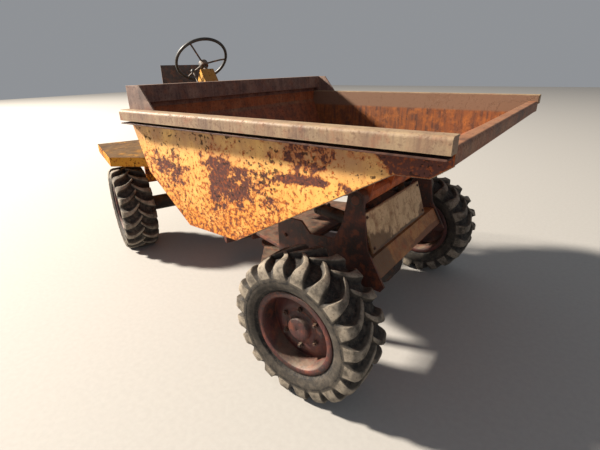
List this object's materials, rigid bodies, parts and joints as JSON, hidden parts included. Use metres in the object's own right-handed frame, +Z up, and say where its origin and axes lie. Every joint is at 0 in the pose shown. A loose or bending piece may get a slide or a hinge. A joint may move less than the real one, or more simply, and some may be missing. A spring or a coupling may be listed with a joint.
{
  "type": "site dumper",
  "caption": "Articulated site dumper: forward-tipping skip over the front axle, open driver's seat and engine on the rear half, joined at a centre pivot.",
  "frame": {"origin": "on the ground, at the middle of the bounding box of the machine as parked", "axes": "+X forward along the front half, +Y left, +Z up"},
  "size_m": [3.6506, 2.4298, 1.8024],
  "materials": {
    "weathered_yellow_paint": "faded, rusted",
    "worn_brown_steel": "oxidised",
    "orange_chassis_paint": "rusted",
    "cream_paint": "weathered",
    "dark_axle_paint": "grimy",
    "polished_rod": "worn",
    "red_wheel_paint": "faded",
    "tyre_rubber": "dusty",
    "black_plastic": "worn",
    "grey_seat_steel": "worn",
    "seat_vinyl": "worn vinyl"
  },
  "bodies": {
    "front_frame": {"front_side_plates": "orange_chassis_paint", "nose_plate": "cream_paint", "nose_beam": "orange_chassis_paint", "pivot_plates": "orange_chassis_paint", "steering_foot": "orange_chassis_paint", "ram_cross_tube": "orange_chassis_paint", "front_axle": "dark_axle_paint", "front_shaft": "dark_axle_paint"},
    "skip": {"skip_floor": "worn_brown_steel", "skip_side_left": "weathered_yellow_paint", "skip_side_right": "weathered_yellow_paint", "skip_rim_left": "worn_brown_steel", "skip_rim_right": "worn_brown_steel", "skip_head": "worn_brown_steel", "skip_hinge": "orange_chassis_paint"},
    "tip_ram_barrel": {"tip_ram_barrel": "dark_axle_paint"},
    "tip_ram_rod": {"tip_ram_rod": "polished_rod"},
    "centre_yoke": {"centre_yoke": "orange_chassis_paint"},
    "steer_ram_barrel": {"steer_ram_barrel": "dark_axle_paint"},
    "steer_ram_rod": {"steer_ram_rod": "polished_rod"},
    "rear_frame": {"bearing_plate": "orange_chassis_paint", "rear_rails": "orange_chassis_paint", "rear_axle": "dark_axle_paint", "gearbox": "dark_axle_paint", "counterweight": "weathered_yellow_paint", "engine_block": "dark_axle_paint", "engine_cover": "weathered_yellow_paint", "floor_plate": "worn_brown_steel", "fender_left": "weathered_yellow_paint", "fender_right": "weathered_yellow_paint", "pedestal": "worn_brown_steel", "steering_column": "dark_axle_paint", "levers": "black_plastic", "seat_frame": "grey_seat_steel", "seat_cushion": "seat_vinyl", "fuel_tank": "dark_axle_paint", "exhaust": "dark_axle_paint"},
    "steering_wheel": {"steering_wheel": "black_plastic"},
    "wheel_front_left": {"tyre_front_left": "tyre_rubber", "rim_front_left": "red_wheel_paint"},
    "wheel_front_right": {"tyre_front_right": "tyre_rubber", "rim_front_right": "red_wheel_paint"},
    "wheel_rear_left": {"tyre_rear_left": "tyre_rubber", "rim_rear_left": "red_wheel_paint"},
    "wheel_rear_right": {"tyre_rear_right": "tyre_rubber", "rim_rear_right": "red_wheel_paint"}
  },
  "joints": [
    {"name": "skip_tip", "type": "hinge", "parent": "front_frame", "child": "skip", "pos_m": [1.27827, -0.27492, 0.9375], "axis": [0, 1, 0], "range_deg": [0, 70]},
    {"name": "tip_ram_swing", "type": "hinge", "parent": "front_frame", "child": "tip_ram_barrel", "pos_m": [1.27327, -0.27492, 0.5725], "axis": [0, 1, 0], "range_deg": [0, 57]},
    {"name": "tip_ram_extend", "type": "slide", "parent": "tip_ram_barrel", "child": "tip_ram_rod", "axis": [-0.9921, 0, 0.1258], "range_m": [0, 0.371]},
    {"name": "articulation", "type": "hinge", "parent": "front_frame", "child": "centre_yoke", "pos_m": [0.26827, -0.27492, 0.3975], "axis": [0, 0, 1], "range_deg": [-9.6, 50.4]},
    {"name": "oscillation", "type": "hinge", "parent": "centre_yoke", "child": "rear_frame", "pos_m": [0.09019, -0.20869, 0.3975], "axis": [0.9373, -0.3486, 0], "range_deg": [-8, 8]},
    {"name": "steer_ram_swing", "type": "hinge", "parent": "front_frame", "child": "steer_ram_barrel", "pos_m": [0.88827, 0.02508, 0.3975], "axis": [0, 0, 1], "range_deg": [-2, 1]},
    {"name": "steer_ram_extend", "type": "slide", "parent": "steer_ram_barrel", "child": "steer_ram_rod", "axis": [-0.9797, -0.2004, 0], "range_m": [-0.033, 0.168]},
    {"name": "steering_wheel_turn", "type": "hinge", "parent": "rear_frame", "child": "steering_wheel", "pos_m": [-0.79086, 0.11896, 1.5975], "axis": [-0.6628, 0.2465, 0.7071], "continuous": true},
    {"name": "wheel_front_left_spin", "type": "hinge", "parent": "front_frame", "child": "wheel_front_left", "pos_m": [1.20327, 0.52508, 0.3775], "axis": [0, 1, 0], "continuous": true},
    {"name": "wheel_front_right_spin", "type": "hinge", "parent": "front_frame", "child": "wheel_front_right", "pos_m": [1.20327, -1.07492, 0.3775], "axis": [0, 1, 0], "continuous": true},
    {"name": "wheel_rear_left_spin", "type": "hinge", "parent": "rear_frame", "child": "wheel_rear_left", "pos_m": [-0.59073, 0.89807, 0.3775], "axis": [0.3486, 0.9373, 0], "continuous": true},
    {"name": "wheel_rear_right_spin", "type": "hinge", "parent": "rear_frame", "child": "wheel_rear_right", "pos_m": [-1.14844, -0.60158, 0.3775], "axis": [0.3486, 0.9373, 0], "continuous": true}
  ],
  "couplings": [
    {"joint": "tip_ram_swing", "follows": "skip_tip", "ratio": 0.806},
    {"joint": "tip_ram_extend", "follows": "skip_tip", "m_per_rad": 0.3031},
    {"joint": "steer_ram_swing", "follows": "articulation", "ratio": -0.035},
    {"joint": "steer_ram_extend", "follows": "articulation", "m_per_rad": 0.189}
  ]
}
